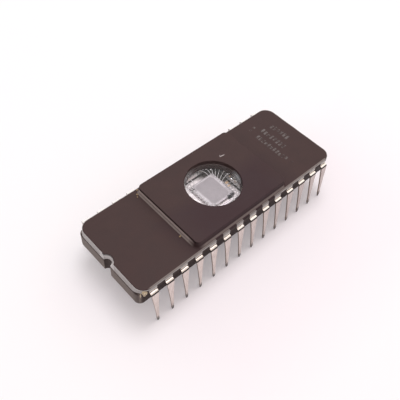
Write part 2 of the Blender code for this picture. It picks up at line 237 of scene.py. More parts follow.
# Colours
LID_DARK = (0.040, 0.021, 0.020)
LID_LIGHT = (0.064, 0.037, 0.035)
BASE_DARK = (0.140, 0.108, 0.096)
BASE_LIGHT = (0.205, 0.168, 0.150)
# Painted shade: the base's long sides, its ends by the top and the near corner, its notch, and the glass
# between leads
BASE_PAINTED_SHADE = (0.031, 0.015, 0.013)
# Painted shade in the cavity of the base
CAVITY_PAINTED_SHADE = (0.008, 0.006, 0.006)
NEAR_SHADE = (0.038, 0.018, 0.0225)
SCUFF = (0.62, 0.57, 0.56)
# Painted highlight on the fillet at the foot of the raised part
FOOT_PAINTED_HIGHLIGHT = (0.26, 0.215, 0.20)
# Painted highlight on the -X wall of the raised part
WALL_PAINTED_HIGHLIGHT = (0.50, 0.42, 0.395)
# Painted shade at the top of the raised part's -X wall
WALL_PAINTED_SHADE = (0.012, 0.006, 0.006)
# Painted sheen along the lid's near edge
EDGE_PAINTED_SHEEN = (0.23, 0.195, 0.182)
BORE_SPECKLE = (0.42, 0.41, 0.42)
# Painted sheen on the bore's wall towards +X -Y
BORE_PAINTED_SHEEN = (0.50, 0.53, 0.55)
GLASS_OVER_LEAD = (0.26, 0.235, 0.225)
# Painted highlight on the glass just above each lead's root
ROOT_PAINTED_HIGHLIGHT = (0.98, 0.93, 0.86)
GLASS_RIM = (0.80, 0.71, 0.72)
GLASS_RING = (0.66, 0.63, 0.63)
# Painted shade on the glass in the notch
NOTCH_PAINTED_SHADE = (0.03, 0.022, 0.02)
WINDOW_CLEAR = (0.985, 0.985, 0.99, 1.0)
# Painted shade on the leads' faces, darker towards +X
FACE_PAINTED_SHADE = (0.24, 0.205, 0.205)
# Painted highlight on the leads' bends
BEND_PAINTED_HIGHLIGHT = (0.98, 0.93, 0.88)
# Painted sheen on the far row of leads near their bend
FAR_LEAD_PAINTED_SHEEN = (0.98, 0.97, 0.95)
LEAD_DIRT = (0.05, 0.038, 0.033)
# Painted shade on the sides of the near leads
SIDE_PAINTED_SHADE = (0.24, 0.17, 0.135)
# Painted reflection: a dark band on the leads below the bend
BEND_PAINTED_REFLECTION = (0.02, 0.016, 0.014)
# Painted shade on the cavity floor towards +X +Y
CAVITY_FLOOR_PAINTED_SHADE = (0.07, 0.06, 0.055)
GOLD_PATCH = (0.85, 0.60, 0.38)
# Painted light on the die's side walls
DIE_SIDE_PAINTED_LIGHT = (0.80, 0.75, 0.78)
DIE_DARK = (0.04, 0.035, 0.045)

# Colour ramps: positions and colours
GLASS_STOPS = [(0.30, (0.29, 0.265, 0.255)), (0.55, (0.40, 0.373, 0.362)), (0.75, (0.48, 0.46, 0.46))]
# Painted shade and painted light: the glass under the window as in shade, and as lit
SHADED_GLASS_STOPS = [(0.45, (0.035, 0.032, 0.033)), (0.65, (0.22, 0.21, 0.21))]
LIT_GLASS_STOPS = [(0.36, (0.16, 0.155, 0.16)), (0.60, (0.92, 0.90, 0.91))]
LEAD_STOPS = [(0.3, (0.55, 0.475, 0.435)), (0.5, (0.68, 0.60, 0.555)), (0.7, (0.76, 0.69, 0.64))]
GOLD_STOPS = [(0.3, (0.92, 0.84, 0.85)), (0.7, (1.0, 0.96, 0.97))]
INK_STOPS = [(0.32, LID_DARK), (0.7, (0.15, 0.132, 0.128))]

# Noise textures: features in a metre, detail, roughness and stretch
CERAMIC_GRAIN = (9000, 3.0, 0.7)
CERAMIC_BLOTCH = (420, 3.0, 0.55)
BORE_GRAIN = (4200, 2.0, 0.5)
GLASS_STREAK = (900, 4.0, 0.6, (1, 1, 3))
GLASS_SPECK = (5200, 2.0, 0.5)
WINDOW_RIPPLE = (700, 2.0, 0.5)
LEAD_STREAK = (2600, 3.0, 0.6, (2.5, 1.0, 0.35))
LEAD_CLOUD = (900, 3.0, 0.5)
GOLD_GRAIN = (2600, 4.0, 0.65)
CIRCUIT_TONE = (1100, 2.0, 0.5)
INK_GRAIN = (5200, 3.0, 0.7)
INK_RUBBED = (1300, 2.0, 0.5)
METAL_DETAIL = (4.0, 0.65)
NOISE_REACH = (0.3, 0.7)

# Simple materials: dark and light colour, roughness, features in a metre, and for metals how metallic
METALS = {
    "aluminium_wire": ((0.86, 0.85, 0.86), (0.97, 0.96, 0.97), 0.35, 9000, 0.3),
    # Painted shade: a darker, duller copy of the wire metal for the wires towards +X -Y
    "dull_shaded_wire": ((0.30, 0.29, 0.30), (0.48, 0.47, 0.48), 0.5, 9000, 0.2),
    "solder": ((0.93, 0.92, 0.94), (1.0, 1.0, 1.0), 0.14, 6000, 1.0),
}
PLAINS = {
    "residue": ((0.22, 0.14, 0.07), (0.50, 0.36, 0.20), 0.4, 5000),
    "tan_glass": ((0.30, 0.22, 0.13), (0.72, 0.60, 0.42), 0.3, 3600),
    "gold_fleck": ((0.45, 0.27, 0.13), (0.85, 0.62, 0.40), 0.35, 6000),
}

# Blocks of the die: dark and light colour, pitch of the lines, roughness and how metallic
CIRCUITS = {
    "silicon": ((0.42, 0.39, 0.41), (0.66, 0.62, 0.65), 0.00009, 0.5, 0.1),
    "cell_array": ((0.38, 0.35, 0.375), (0.48, 0.45, 0.48), 0.00003, 0.6, 0.05),
    "decoder": ((0.55, 0.52, 0.55), (0.80, 0.76, 0.80), 0.00006, 0.4, 0.1),
    "logic": ((0.02, 0.02, 0.03), (0.05, 0.045, 0.06), 0.00007, 0.5, 0.0),
}

# Soft marks in plan: middle, angle, length, width, tint and strength
LID_MARKS = [
    ((0.0, -0.0048), 0, 0.019, 0.0086, NEAR_SHADE, 0.75),
    ((0.0045, 0.00263), -8, 0.0008, 0.00012, SCUFF, 0.9),
    ((0.00425, 0.00285), 40, 0.0003, 0.0001, SCUFF, 0.5),
    ((0.00879, -0.00292), 45, 0.00075, 0.00011, SCUFF, 0.35),
    ((0.00905, -0.0024), 48, 0.0005, 0.0001, SCUFF, 0.22),
]
FLOOR_MARKS = [
    ((0.00158, -0.00258), 0, 0.0011, 0.00024, (0.03, 0.03, 0.035), 0.95),
    ((0.0004, -0.00282), 0, 0.0017, 0.00009, (0.3, 0.22, 0.33), 0.8),
    ((0.0001, -0.00302), 0, 0.0012, 0.00007, (0.34, 0.26, 0.36), 0.7),
    ((0.00308, -0.00018), 0, 0.0006, 0.0005, GOLD_PATCH, 0.9),
    ((0.00286, -0.0008), 0, 0.0006, 0.00036, GOLD_PATCH, 0.9),
]
DIE_MARKS = [
    ((-0.00188, 0.00168), 12, 0.0006, 0.00018, DIE_DARK, 1.0),
    ((-0.00186, 0.002), 95, 0.0006, 0.00018, DIE_DARK, 1.0),
]
MARK_EDGE = (0.6, 1.2)

# Layers of colour: zones, tint and strength
LID_LAYERS = [
    # Painted highlight on the foot fillet of the raised part
    ("foot raised_sides", FOOT_PAINTED_HIGHLIGHT, 0.7),
    ("foot raised_end off_corner", FOOT_PAINTED_HIGHLIGHT, 1.0),
    # Painted highlight on the raised part's -X wall
    ("end_wall raised_end off_corner", WALL_PAINTED_HIGHLIGHT, 1.0),
    # Painted shade at the top of that wall
    ("wall_top raised_end", WALL_PAINTED_SHADE, 0.9),
    # Painted sheen on the bore's wall towards +X -Y
    ("bore bore_right", BORE_PAINTED_SHEEN, 0.8),
]
# Painted shade on the base: its ends by the near corner and the top, its notch and its long sides
BASE_LAYERS = [
    ("ends near_corner", BASE_PAINTED_SHADE, 0.6),
    ("ends end_top", BASE_PAINTED_SHADE, 0.75),
    ("base_notch", BASE_PAINTED_SHADE, 0.9),
    ("long_sides", BASE_PAINTED_SHADE, 1.0),
    # Painted shade in the cavity
    ("cavity", CAVITY_PAINTED_SHADE, 1.0),
]
# Painted light on the die's sides
DIE_LAYERS = [("die_sides", DIE_SIDE_PAINTED_LIGHT, 1.0), ("die_near", DIE_DARK, 1.0)]

# Painted shade on the cavity's floor: its direction, and how far along it starts and is full
CAVITY_FLOOR_SHADE_DIRECTION = (0.75, 0.5, 0)
CAVITY_FLOOR_SHADE_REACH = (0.0013, 0.0024)

# Glass that has climbed over a lead reaches this far to each side of it
CLIMB_REACH = (0.00056, 0.00066)

# Soft zones of the materials: an axis, where the zone is nought and where it is one, in millimetres,
# and the place in metres that both count from. An axis between bars counts to both sides.
MM = 0.001
ZONES = {
    "foot": [("Z", 0.01, 0.06, LID_TOP), ("Z", 0.36, 0.26, LID_TOP)],
    "raised_sides": [("X", 8.2, 7.8), ("X", -8.4, -7.4)],
    "raised_end": [("X", -8.3, -8.6)],
    "off_corner": [("Y", -6.0, -4.8)],
    "end_wall": [("Z", 0.3, 0.4, LID_TOP), ("Z", 0.88, 0.76, LID_TOP)],
    "wall_top": [("Z", 0.8, 0.92, LID_TOP), ("Z", -0.02, -0.08, LID_HIGH.z)],
    "near_edge": [("Y", -6.87, -6.96), ("|X|", 17.2, 16.8)],
    "mid_row": [("|X|", 7.0, 6.0)],
    "bore": [("|X|", 4.5, 4.4), ("|Y|", 4.5, 4.4), ("Z", -0.3, -0.6, LID_HIGH.z)],
    "bore_left": [("X", 0.2, -1.2), ("Y", 0.6, 1.6)],
    "bore_right": [("X", 3.4, 4.0), ("Y", 0.0, -1.2)],
    "long_sides": [("|Y|", 6.4, 6.52)],
    "cavity": [("|X|", 4.4, 4.0), ("|Y|", 4.4, 4.0)],
    "ends": [("|X|", -0.3, -0.2, BASE_HIGH.x)],
    "end_top": [("Z", -0.18, -0.08, BASE_HIGH.z)],
    "near_corner": [("Y", -5.2, -6.2)],
    "base_notch": [("X", 0.02, 0.08, BASE_LOW.x), ("X", 1.0, 0.9, BASE_LOW.x),
                   ("|Y|", 0.76, 0.72)],
    "glass_sides": [("|Y|", 6.7, 6.76)],
    "lead_root": [("Z", 0.56, 0.06, LEAD_TOP)],
    "glass_inside": [("|X|", 5.6, 5.2), ("|Y|", 5.6, 5.2)],
    "cavity_rim": [("Y", 0.42, 0.34, CAVITY_WIDTH / 2), ("Y", -0.1, 0.0, CAVITY_WIDTH / 2),
                   ("X", 0.4, -0.4)],
    "notch_ring": [("X", -16.6, -17.0), ("|Y|", 1.6, 1.4)],
    "under_lid": [("Z", -0.16, -0.24, LID_TOP)],
    "glass_notch": [("Z", -0.26, -0.2, LID_TOP), ("X", -17.2, -17.3), ("|Y|", 1.05, 0.95)],
    "lit_left": [("X", 1.4, 0.2)],
    "lit_corner": [("X", 2.2, 3.0), ("Y", 0.6, -0.6)],
    # Where the leads get the painted dark reflection band below the bend
    "dark_reflection_band": [("Z", 6.26, 6.31), ("Z", 6.53, 6.48), ("|Y|", 7.38, 7.42)],
    "lead_faces": [("Z", 6.3, 6.2), ("X", -6.0, 12.0)],
    "lead_bends": [("Z", 6.3, 6.4), ("X", -7.0, 1.0)],
    "far_leads": [("Y", 6.6, 6.8), ("Z", 6.2, 6.4)],
    "near_leads": [("Y", -7.1, -7.3)],
    "fingers": [("|Y|", 5.2, 5.0)],
    "fingers_left": [("X", 0.2, -1.0)],
    "die_sides": [("Z", -0.01, -0.03, DIE_TOP)],
    "die_near": [("Y", -2.36, -2.4), ("X", 1.02, 1.06), ("X", 2.26, 2.22)],
}

# Floor, sky and lamp
FLOOR_HALF = 0.6
FLOOR_COLOUR = (0.772, 0.762, 0.774)
FLOOR_GLOW = (1.0, 0.97, 1.0, 1.0)
FLOOR_LIFT = 0.19
# Painted shadow: a pinkish darker patch on the floor by the near side, under the leads
FLOOR_PAINTED_SHADOW = [((0.006, -0.0115), 0, 0.060, 0.030, (0.76, 0.68, 0.725), 0.45)]
DIRECT_RAYS = ("Camera", "Glossy", "Transmission")
CAMERA_SKY = (0.985, 0.97, 0.985, 1.0)
SKY_TINT = (1.0, 0.94, 0.93)
SKY_STOPS = [(0.0, 0.75), (0.42, 0.6), (0.47, 0.12), (0.55, 0.12), (0.61, 0.7), (0.68, 1.05), (0.82, 1.0),
             (0.90, 0.5), (0.945, 0.5), (0.96, 1.4), (1.0, 1.4)]
SKY_SHARE = 0.82
# Bright panels of the sky: direction, where each starts and is full, and colour
SKY_PANELS = [
    ((0.46, -0.32, 0.83), 0.90, 0.93, (1.45, 1.34, 1.25)),
    ((0.42, 0.90, 0.12), 0.80, 0.92, (1.25, 1.22, 1.2)),
]
KEY_PLACE = (0.075, 0.055, 0.37)
KEY_SIZE = 0.20
KEY_COLOUR = (1.0, 0.975, 1.0)
KEY_POWER = 0.48
PRINT_SEED = 28


# Outlines and meshes

def arc(centre, radius, start, end, steps):
    """Points on an arc between two angles in degrees, both ends included."""
    angles = [math.radians(start + (end - start) * i / steps) for i in range(steps + 1)]
    return [(centre[0] + radius * math.cos(a), centre[1] + radius * math.sin(a)) for a in angles]


def plate_outline(length, width, corner, inset=0.0, notch=None):
    """Anticlockwise outline with round corners, moved in by the inset, with a notch at -X."""
    half_length, half_width = length / 2 - inset, width / 2 - inset
    radius = max(corner - inset, FIT_GAP)
    x, y = half_length - radius, half_width - radius
    points = arc((x, y), radius, 0, 90, CORNER_STEPS) + arc((-x, y), radius, 90, 180, CORNER_STEPS)
    if notch:
        notch_width, depth = notch
        notch_radius = (notch_width ** 2 / 4 + depth ** 2) / (2 * depth)
        centre_x = -length / 2 - (notch_radius - depth)
        cut_radius = notch_radius + inset
        spread = math.degrees(math.acos((-half_length - centre_x) / cut_radius))
        points += arc((centre_x, 0), cut_radius, spread, -spread, NOTCH_STEPS)
    points += arc((-x, -y), radius, 180, 270, CORNER_STEPS)
    points += arc((x, -y), radius, 270, 360, CORNER_STEPS)
    return points


def base_outline(inset, corner=CORNER_BASE):
    size = BASE_HIGH - BASE_LOW
    return plate_outline(size.x, size.y, corner, inset, NOTCH_BASE)


def cavity_outline(inset=0.0):
    return plate_outline(CAVITY_LENGTH, CAVITY_WIDTH, CAVITY_CORNER, inset)


def moved(outline, x, y):
    return [(point[0] + x, point[1] + y) for point in outline]


def lid_outline(inset=0.0):
    size = LID_HIGH - LID_LOW
    return moved(plate_outline(size.x, size.y, CORNER_LID, inset, NOTCH_LID), 0, -LID_SHIFT)


def circle_outline(radius):
    return arc((0, -LID_SHIFT), radius, 0, 360, CIRCLE_STEPS)[:-1]


def at_height(outline, z):
    return [Vector((x, y, z)) for x, y in outline]


def loft(rings, mesh):
    """Join rings of points, all with the same count, into one closed skin in the mesh."""
    loops = [[mesh.verts.new(point) for point in ring] for ring in rings]
    count = len(loops[0])
    for lower, upper in zip(loops, loops[1:]):
        for i in range(count):
            j = (i + 1) % count
            mesh.faces.new((lower[i], lower[j], upper[j], upper[i]))
    mesh.faces.new(list(reversed(loops[0])))
    mesh.faces.new(loops[-1])


def shade(data, angle=SHARP_ANGLE):
    data.shade_smooth()
    data.set_sharp_from_angle(angle=math.radians(angle))


def add_object(name, mesh, material=None, angle=SHARP_ANGLE):
    bmesh.ops.recalc_face_normals(mesh, faces=mesh.faces)
    data = bpy.data.meshes.new(name)
    mesh.to_mesh(data)
    mesh.free()
    shade(data, angle)
    item = bpy.data.objects.new(name, data)
    bpy.context.scene.collection.objects.link(item)
    if material:
        data.materials.append(material)
    return item


def solid(name, rings, material=None):
    mesh = bmesh.new()
    loft(rings, mesh)
    return add_object(name, mesh, material)


def prism(name, outline, low, high, material=None):
    return solid(name, [at_height(outline, z) for z in (low, high)], material)


def combine(target, tool, operation="DIFFERENCE"):
    """Cut the tool out of the target, or join it on, and remove the tool."""
    modifier = target.modifiers.new("combine", "BOOLEAN")
    modifier.operation = operation
    modifier.solver = "EXACT"
    modifier.object = tool
    evaluated = target.evaluated_get(bpy.context.evaluated_depsgraph_get())
    result = bpy.data.meshes.new_from_object(evaluated)
    target.modifiers.clear()
    target.data = result
    bpy.data.objects.remove(tool, do_unlink=True)
    shade(result)


def round_edge_levels(z, direction, radius):
    """Heights and insets that round the edge of a face at z; direction 1 is a top edge."""
    levels = []
    for i in range(EDGE_STEPS + 1):
        angle = math.radians(90 * i / EDGE_STEPS)
        levels.append((z - direction * radius * (1 - math.sin(angle)), radius * (1 - math.cos(angle))))
    return levels if direction > 0 else list(reversed(levels))


def dress(piece, slot, *nodes):
    """The piece moves with the package and stands for the nodes; the slot is not used."""
    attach(piece, "root")
    if nodes:
        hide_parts(*nodes)


# Materials

class Look:
    """The nodes of one material or world, and short calls that add them."""

    def __init__(self, owner):
        owner.use_nodes = True
        self.owner = owner
        self.tree = owner.node_tree
        self.shader = self.tree.nodes.get("Principled BSDF")

    def link(self, value, socket):
        """Feed a socket from another one, or set it to a constant."""
        if isinstance(value, bpy.types.NodeSocket):
            self.tree.links.new(value, socket)
        else:
            socket.default_value = value

    def add(self, kind, *values, **settings):
        """A new node, with settings and inputs by name, and values for its first inputs in order."""
        node = self.tree.nodes.new("ShaderNode" + kind)
        for key, value in settings.items():
            if key in node.inputs:
                self.link(value, node.inputs[key])
            else:
                setattr(node, key, value)
        for value, socket in zip(values, node.inputs):
            self.link(value, socket)
        return node

    def feed(self, **values):
        """Give the main shader's inputs, named with underscores for spaces, their sockets or constants."""
        for name, value in values.items():
            self.link(value, self.shader.inputs[name.replace("_", " ")])

    def surface(self, shader):
        self.link(shader.outputs["Shader"], self.tree.nodes["Material Output"].inputs["Surface"])

    def place(self, name="Object"):
        return self.add("TexCoord").outputs[name]

    def part(self, axis, vector=None):
        return self.add("SeparateXYZ", vector or self.place()).outputs[axis]

    def noise(self, scale, detail=4.0, roughness=0.6, stretch=(1, 1, 1)):
        """A noise texture in the row's own space; the scale counts features in a metre."""
        vector = self.add("Mapping", self.place(), Scale=stretch).outputs["Vector"]
        return self.add("TexNoise", vector, Scale=scale, Detail=detail, Roughness=roughness).outputs["Fac"]

    def spread(self, value, low, high, low_out=0.0, high_out=1.0):
        """Map a value range onto another."""
        return self.add("MapRange", value, low, high, low_out, high_out).outputs["Result"]

    def vary(self, noise_value, low, high):
        """A range of values that follows a noise texture."""
        return self.spread(noise_value, *NOISE_REACH, low, high)

    def inverse(self, mask):
        return self.spread(mask, 1.0, 0.0)

    def chain(self, operation, *values):
        """One operation over all the values, from left to right."""
        total = values[0]
        for value in values[1:]:
            total = self.add("Math", total, value, operation=operation).outputs["Value"]
        return total

    def size(self, value):
        return self.add("Math", value, operation="ABSOLUTE").outputs["Value"]

    def along(self, vector, direction):
        return self.add("VectorMath", vector, direction, operation="DOT_PRODUCT").outputs["Value"]

    def ramp(self, value, stops):
        """A colour ramp from (position, colour) stops."""
        node = self.add("ValToRGB", value)
        elements = node.color_ramp.elements
        while len(elements) < len(stops):
            elements.new(0.5)
        for element, (position, colour) in zip(elements, stops):
            element.position = position
            element.color = (*colour, 1.0)
        return node.outputs["Color"]

    def mix(self, factor, first, second):
        return self.add("Mix", data_type="RGBA", Factor=factor, A=first, B=second).outputs["Result"]

    def layers(self, colour, regions):
        """The colour, turned towards each region's tint where its mask or named zones are one."""
        for where, tint, strength in regions:
            mask = self.zone(where) if isinstance(where, str) else where
            colour = self.mix(self.spread(mask, 0.0, 1.0, 0.0, strength), colour, (*tint, 1.0))
        return colour

    def marks(self, colour, marks):
        return self.layers(colour, [(self.patch(*where), tint, strength) for *where, tint, strength in marks])

    def patch(self, centre, angle, length, width):
        """One inside a soft-edged box that lies at an angle in plan, nought outside it."""
        mapping = self.add("Mapping", self.place(), vector_type="TEXTURE", Location=(*centre, 0),
                           Rotation=(0, 0, math.radians(angle)), Scale=(length / 2, width / 2, 1))
        size = self.add("VectorMath", mapping.outputs["Vector"], operation="ABSOLUTE").outputs["Vector"]
        furthest = self.chain("MAXIMUM", self.part("X", size), self.part("Y", size))
        return self.spread(furthest, *MARK_EDGE, 1.0, 0.0)

    def zone(self, names, *others):
        """One inside all the named zones and nought outside them, times the other masks."""
        masks = []
        for axis, nought, one, *start in (edge for name in names.split() for edge in ZONES[name]):
            value = self.part(axis.strip("|"))
            if "|" in axis:
                value = self.size(value)
            masks.append(self.spread(value, nought * MM + sum(start), one * MM + sum(start)))
        return self.chain("MULTIPLY", *masks, *others)

    def between_leads(self):
        """One between two leads of a row, nought where the glass has climbed over a lead."""
        wave = self.add("Math", self.part("X"), LEAD_PITCH / 2, operation="PINGPONG")
        nought, one = (LEAD_PITCH / 2 - reach for reach in CLIMB_REACH)
        return self.spread(wave.outputs["Value"], nought, one)

    def middle_gaps(self):
        """One between the leads in the middle of a row, where the glass gets painted shade and the lid's near
        edge gets no painted sheen.
        """
        return self.zone("mid_row", self.between_leads())

    def lit_quarters(self):
        """One where the floor under the window is painted lit: towards -X, and in the corner towards +X -Y;
        elsewhere it is painted in shade.
        """
        return self.chain("MAXIMUM", self.zone("lit_left"), self.zone("lit_corner"))

    def rays(self, *names):
        """One for rays of the named kinds, else nought."""
        path = self.add("LightPath")
        return self.chain("MAXIMUM", *(path.outputs[f"Is {name} Ray"] for name in names))

    def bump(self, height, depth, strength, under=None):
        node = self.add("Bump", Height=height, Distance=depth, Strength=strength)
        if under:
            self.link(under, node.inputs["Normal"])
        self.feed(Normal=node.outputs["Normal"])
        return node.outputs["Normal"]


def new_look(name):
    return Look(bpy.data.materials.new(name))


def pressed_ceramic(name, dark, light, specular):
    """Pressed alumina: a dull brown body with fine grain, soft blotches and pits."""
    look = new_look(name)
    grain = look.noise(*CERAMIC_GRAIN)
    blotch = look.noise(*CERAMIC_BLOTCH)
    tone = look.chain("ADD", look.vary(grain, -0.18, 0.18), look.vary(blotch, 0.25, 0.75))
    look.feed(Roughness=look.vary(blotch, 0.57, 0.69), Specular_IOR_Level=specular)
    fine = look.bump(grain, 0.000008, 0.5)
    look.bump(blotch, 0.00002, 0.3, fine)
    return look, look.ramp(tone, [(0.0, dark), (1.0, light)])


def base_material():
    look, colour = pressed_ceramic("base_ceramic", BASE_DARK, BASE_LIGHT, 0.35)
    look.feed(Base_Color=look.layers(colour, BASE_LAYERS))
    return look.owner


def lid_material():
    """Worn, with painted shade on the near half, painted highlights and shade on the raised part, a painted
    sheen on the bore's wall and on the near edge, and speckles on the wall of the bore.
    """
    look, colour = pressed_ceramic("lid_ceramic", LID_DARK, LID_LIGHT, 0.25)
    colour = look.layers(look.marks(colour, LID_MARKS), LID_LAYERS)
    speckles = look.spread(look.noise(*BORE_GRAIN), 0.42, 0.60, 0.15, 1.0)
    look.feed(Base_Color=look.layers(colour, [
        # Painted sheen on the near edge, left out between the middle leads
        (look.zone("near_edge", look.inverse(look.middle_gaps())), EDGE_PAINTED_SHEEN, 1.0),
        (look.zone("bore bore_left", speckles), BORE_SPECKLE, 0.9),
    ]))
    return look.owner


def sealing_glass_material():
    """Grey sealing glass: satin, a little streaky, with a few darker specks."""
    look = new_look("sealing_glass")
    streak = look.noise(*GLASS_STREAK)
    speck = look.noise(*GLASS_SPECK)
    over_lead = look.zone("glass_sides", look.inverse(look.between_leads()))
    outside = look.layers(look.ramp(streak, GLASS_STOPS), [
        (over_lead, GLASS_OVER_LEAD, 0.6),
        # Painted highlight on the glass over each lead's root
        (look.zone("lead_root", over_lead), ROOT_PAINTED_HIGHLIGHT, 1.0),
    ])
    # The glass under the window is painted lit in the lit quarters and painted in shade elsewhere
    inside = look.mix(look.lit_quarters(), look.ramp(speck, SHADED_GLASS_STOPS), look.ramp(speck, LIT_GLASS_STOPS))
    inside = look.layers(inside, [("cavity_rim", GLASS_RIM, 0.9)])
    # Painted shade on the glass between the leads: below the lid, and in the middle of each row
    shaded_parts = look.chain("MAXIMUM", look.zone("under_lid"), look.middle_gaps())
    low_side = look.zone("glass_sides", look.between_leads(), shaded_parts)
    colour = look.layers(look.mix(look.zone("glass_inside"), outside, inside), [
        ("notch_ring", GLASS_RING, 0.6),
        (low_side, BASE_PAINTED_SHADE, 1.0),
        # Painted shade in the notch
        ("glass_notch", NOTCH_PAINTED_SHADE, 0.9),
    ])
    dull = look.spread(low_side, 0.0, 1.0, 0.0, 0.75)
    look.feed(Base_Color=colour, Roughness=look.chain("MAXIMUM", look.vary(speck, 0.28, 0.5), dull))
    soft = look.bump(streak, 0.00004, 0.5)
    look.bump(speck, 0.000006, 0.4, soft)
    return look.owner


def window_material():
    """Clear glass that lets the light in, so that the die behind it is lit."""
    look = new_look("window_glass")
    look.feed(Base_Color=WINDOW_CLEAR, Transmission_Weight=1.0, IOR=1.48, Roughness=0.0)
    look.bump(look.noise(*WINDOW_RIPPLE), 0.00001, 0.15)
    clear = look.add("BsdfTransparent").outputs["BSDF"]
    look.surface(look.add("MixShader", look.rays("Shadow", "Diffuse"), look.shader.outputs["BSDF"], clear))
    return look.owner


def lead_material():
    """Tin-plated lead: satin, with rolling streaks down its length and a dull dark cut point; with painted
    highlights on the bends and the far row, painted shade on the faces and on the sides of the near row, and
    a painted dark reflection band below the bend.
    """
    look = new_look("plated_lead")
    streak = look.noise(*LEAD_STREAK)
    cloud = look.noise(*LEAD_CLOUD)
    ragged = look.chain("ADD", look.part("Z"), look.vary(cloud, -0.00022, 0.00022))
    dirt = look.spread(ragged, 0.00050, 0.0012, 1.0, 0.0)
    # Painted sheen on the far row, which also loses its metal look
    far = look.zone("far_leads")
    sideways = look.size(look.part("X", look.place("Normal")))
    colour = look.layers(look.ramp(streak, LEAD_STOPS), [
        # Painted shade on the faces, darker towards +X
        ("lead_faces", FACE_PAINTED_SHADE, 0.4),
        # Painted highlight on the bends
        ("lead_bends", BEND_PAINTED_HIGHLIGHT, 0.7),
        (far, FAR_LEAD_PAINTED_SHEEN, 0.95),
        (dirt, LEAD_DIRT, 1.0),
        # Painted shade on the sides of the near row, by their normals
        (look.zone("near_leads", look.spread(sideways, 0.75, 0.95)), SIDE_PAINTED_SHADE, 0.85),
        # Painted dark reflection below the bend
        ("dark_reflection_band", BEND_PAINTED_REFLECTION, 1.0),
    ])
    speckled = look.zone("fingers fingers_left", look.spread(streak, 0.40, 0.62))
    # Fingers in the painted-lit quarters lose their metal look, like the glass round them
    lit_fingers = look.zone("fingers", look.lit_quarters())
    flat = look.chain("MAXIMUM", dirt, speckled, lit_fingers, far)
    look.feed(Base_Color=colour, Metallic=look.spread(flat, 0.0, 1.0, 1.0, 0.1),
              Roughness=look.vary(cloud, 0.15, 0.27))
    soft = look.bump(cloud, 0.00003, 0.25)
    look.bump(streak, 0.000006, 0.5, soft)
    return look.owner


def metal_material(name):
    """A plain metal with fine grain, for the wires, pads and solder."""
    dark, light, roughness, scale, metallic = METALS[name]
    look = new_look(name)
    grain = look.noise(scale, *METAL_DETAIL)
    look.feed(Base_Color=look.ramp(grain, [(0.3, dark), (0.7, light)]), Metallic=metallic,
              Roughness=look.vary(grain, roughness - 0.06, roughness + 0.08))
    look.bump(grain, 0.000002, 0.6)
    return look.owner


def plain_material(name):
    """A dull non-metal with soft blotches, for residue, drops of glass and gold flecks."""
    dark, light, roughness, scale = PLAINS[name]
    look = new_look(name)
    blotch = look.noise(scale)
    look.feed(Base_Color=look.ramp(blotch, [(0.35, dark), (0.65, light)]), Roughness=roughness)
    look.bump(blotch, 0.00001, 0.5)
    return look.owner


def cavity_metal_material():
    """Fired gold paste on the floor of the cavity: matt and pale, with painted shade towards +X +Y."""
    look = new_look("gold_metal")
    grain = look.noise(*GOLD_GRAIN)
    ragged = look.chain("ADD", look.along(look.place(), CAVITY_FLOOR_SHADE_DIRECTION), look.vary(grain, -0.0003, 0.0003))
    colour = look.layers(look.ramp(grain, GOLD_STOPS), [(look.spread(ragged, *CAVITY_FLOOR_SHADE_REACH), CAVITY_FLOOR_PAINTED_SHADE, 1.0)])
    look.feed(Base_Color=look.marks(colour, FLOOR_MARKS), Metallic=0.35,
              Roughness=look.vary(grain, 0.3, 0.45))
    look.bump(grain, 0.00002, 0.6)
    return look.owner


def circuit_material(name):
    """Patterned silicon: crossed fine lines under a clear film, for a block of the die."""
    dark, light, line_pitch, roughness, metallic = CIRCUITS[name]
    look = new_look(name)
    lines = []
    for axis in ("X", "Y"):
        wave = look.add("TexWave", look.place(), wave_type="BANDS", bands_direction=axis,
                        Scale=math.pi / 10 / line_pitch)
        lines.append(wave.outputs["Fac"])
    crossed = look.chain("MULTIPLY", *lines)
    pattern = look.spread(crossed, 0.0, 1.0, 0.0, 0.55)
    tone = look.chain("ADD", pattern, look.vary(look.noise(*CIRCUIT_TONE), 0.0, 0.45))
    colour = look.ramp(tone, [(0.0, dark), (1.0, light)])
    if name == "silicon":
        colour = look.marks(look.layers(colour, DIE_LAYERS), DIE_MARKS)
    look.feed(Base_Color=colour, Metallic=metallic, Roughness=roughness)
    look.bump(crossed, 0.000001, 0.5)
    return look.owner


def ink_material():
    """Worn ink: mostly rubbed away, so that the ceramic's colour shows between its grains."""
    look = new_look("worn_ink")
    grain = look.noise(*INK_GRAIN)
    tone = look.chain("ADD", look.vary(grain, 0.0, 0.5), look.vary(look.noise(*INK_RUBBED), 0.0, 0.5))
    look.feed(Base_Color=look.ramp(tone, INK_STOPS), Roughness=look.vary(grain, 0.55, 0.75),
              Specular_IOR_Level=0.3)
    return look.owner


# Ceramic and glass pieces

def make_base(material):
    levels = round_edge_levels(BASE_LOW.z, -1, EDGE_BASE) + round_edge_levels(BASE_HIGH.z, 1, EDGE_BASE)
    base = solid("base_body", [at_height(base_outline(inset), z) for z, inset in levels], material)
    combine(base, prism("cavity", cavity_outline(), BASE_HIGH.z - CAVITY_DEPTH, BASE_HIGH.z + OVERCUT))
    dress(base, "base_ceramic", "base")


def raised_outline(inset):
    return moved(plate_outline(RAISED_LENGTH, RAISED_WIDTH, RAISED_CORNER, inset), -RAISED_SHIFT, -LID_SHIFT)


